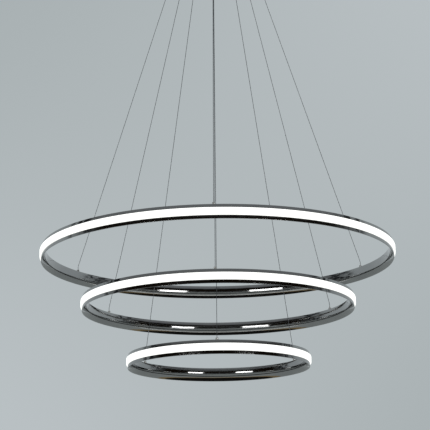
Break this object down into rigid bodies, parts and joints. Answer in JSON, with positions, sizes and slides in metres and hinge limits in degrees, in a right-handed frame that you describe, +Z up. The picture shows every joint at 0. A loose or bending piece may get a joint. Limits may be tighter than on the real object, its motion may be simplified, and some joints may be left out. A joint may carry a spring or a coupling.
{
  "type": "led ring chandelier",
  "caption": "Ring chandelier: slim mirror-finish metal hoops with a lit opal band round the outside, hung level in tiers by fine steel wires from a round ceiling canopy.",
  "frame": {"origin": "on the ceiling face, at the middle of the mounting plate and of its cable hole", "axes": "+Z up into the ceiling; -Y towards the front wires; +X to the viewer's right"},
  "size_m": [0.8, 0.8, 1.122],
  "materials": {
    "canopy_metal": "polished black nickel plate",
    "ring_metal": "mirror-polished black nickel plate",
    "polished_metal": "polished nickel plate",
    "zinc_plate": "zinc-plated steel",
    "brass": "plain brass",
    "steel_wire": "bright stranded steel wire",
    "opal": "opal silicone, evenly lit",
    "led_board": "white printed board with LED chips",
    "driver_plastic": "white moulded case",
    "terminal_plastic": "translucent white nylon",
    "nylon": "black nylon",
    "lead_sheath": "white PVC sheath"
  },
  "bodies": {
    "canopy": {"mounting_plate": "zinc_plate", "plate_studs": "zinc_plate", "canopy_pan": "canopy_metal", "cap_nuts": "polished_metal", "led_driver_large": "driver_plastic", "led_driver_middle": "driver_plastic", "led_driver_small": "driver_plastic", "driver_screws": "zinc_plate", "terminal_block": "terminal_plastic", "earth_screw": "brass", "mains_leads": "lead_sheath", "output_leads": "lead_sheath", "gripper_stems": "polished_metal", "gripper_barrels": "polished_metal", "gripper_bushes": "nylon", "gripper_locknuts": "polished_metal", "gripper_springs": "steel_wire", "wire_large_front": "steel_wire", "wire_large_right": "steel_wire", "wire_large_left": "steel_wire", "wire_middle_front": "steel_wire", "wire_middle_right": "steel_wire", "wire_middle_left": "steel_wire", "wire_small_front": "steel_wire", "wire_small_right": "steel_wire", "wire_small_left": "steel_wire"},
    "ring_large": {"channel_large": "ring_metal", "diffuser_large": "opal", "led_strip_large": "led_board", "wire_nipples_large": "polished_metal", "nipple_bushes_large": "nylon", "nipple_nuts_large": "brass", "wire_stops_large": "brass", "feed_leads_large": "lead_sheath"},
    "ring_middle": {"channel_middle": "ring_metal", "diffuser_middle": "opal", "led_strip_middle": "led_board", "wire_nipples_middle": "polished_metal", "nipple_bushes_middle": "nylon", "nipple_nuts_middle": "brass", "wire_stops_middle": "brass", "feed_leads_middle": "lead_sheath"},
    "ring_small": {"channel_small": "ring_metal", "diffuser_small": "opal", "led_strip_small": "led_board", "wire_nipples_small": "polished_metal", "nipple_bushes_small": "nylon", "nipple_nuts_small": "brass", "wire_stops_small": "brass", "feed_leads_small": "lead_sheath"},
    "plunger_large_front": {"plunger_large_front": "polished_metal"},
    "plunger_large_right": {"plunger_large_right": "polished_metal"},
    "plunger_large_left": {"plunger_large_left": "polished_metal"},
    "plunger_middle_front": {"plunger_middle_front": "polished_metal"},
    "plunger_middle_right": {"plunger_middle_right": "polished_metal"},
    "plunger_middle_left": {"plunger_middle_left": "polished_metal"},
    "plunger_small_front": {"plunger_small_front": "polished_metal"},
    "plunger_small_right": {"plunger_small_right": "polished_metal"},
    "plunger_small_left": {"plunger_small_left": "polished_metal"}
  },
  "joints": [
    {"name": "large_ring_height", "type": "slide", "parent": "canopy", "child": "ring_large", "axis": [0, 0, 1], "range_m": [0, 0.25], "deforming": ["wire_large_front", "wire_large_right", "wire_large_left"]},
    {"name": "middle_ring_height", "type": "slide", "parent": "canopy", "child": "ring_middle", "axis": [0, 0, 1], "range_m": [0, 0.25], "deforming": ["wire_middle_front", "wire_middle_right", "wire_middle_left"]},
    {"name": "small_ring_height", "type": "slide", "parent": "canopy", "child": "ring_small", "axis": [0, 0, 1], "range_m": [0, 0.25], "deforming": ["wire_small_front", "wire_small_right", "wire_small_left"]},
    {"name": "plunger_large_front_push", "type": "slide", "parent": "canopy", "child": "plunger_large_front", "axis": [0, 0, 1], "range_m": [0, 0.0025], "stiffness_N_per_m": 300, "springref_m": -0.003, "deforming": ["gripper_springs"]},
    {"name": "plunger_large_right_push", "type": "slide", "parent": "canopy", "child": "plunger_large_right", "axis": [0, 0, 1], "range_m": [0, 0.0025], "stiffness_N_per_m": 300, "springref_m": -0.003, "deforming": ["gripper_springs"]},
    {"name": "plunger_large_left_push", "type": "slide", "parent": "canopy", "child": "plunger_large_left", "axis": [0, 0, 1], "range_m": [0, 0.0025], "stiffness_N_per_m": 300, "springref_m": -0.003, "deforming": ["gripper_springs"]},
    {"name": "plunger_middle_front_push", "type": "slide", "parent": "canopy", "child": "plunger_middle_front", "axis": [0, 0, 1], "range_m": [0, 0.0025], "stiffness_N_per_m": 300, "springref_m": -0.003, "deforming": ["gripper_springs"]},
    {"name": "plunger_middle_right_push", "type": "slide", "parent": "canopy", "child": "plunger_middle_right", "axis": [0, 0, 1], "range_m": [0, 0.0025], "stiffness_N_per_m": 300, "springref_m": -0.003, "deforming": ["gripper_springs"]},
    {"name": "plunger_middle_left_push", "type": "slide", "parent": "canopy", "child": "plunger_middle_left", "axis": [0, 0, 1], "range_m": [0, 0.0025], "stiffness_N_per_m": 300, "springref_m": -0.003, "deforming": ["gripper_springs"]},
    {"name": "plunger_small_front_push", "type": "slide", "parent": "canopy", "child": "plunger_small_front", "axis": [0, 0, 1], "range_m": [0, 0.0025], "stiffness_N_per_m": 300, "springref_m": -0.003, "deforming": ["gripper_springs"]},
    {"name": "plunger_small_right_push", "type": "slide", "parent": "canopy", "child": "plunger_small_right", "axis": [0, 0, 1], "range_m": [0, 0.0025], "stiffness_N_per_m": 300, "springref_m": -0.003, "deforming": ["gripper_springs"]},
    {"name": "plunger_small_left_push", "type": "slide", "parent": "canopy", "child": "plunger_small_left", "axis": [0, 0, 1], "range_m": [0, 0.0025], "stiffness_N_per_m": 300, "springref_m": -0.003, "deforming": ["gripper_springs"]}
  ]
}
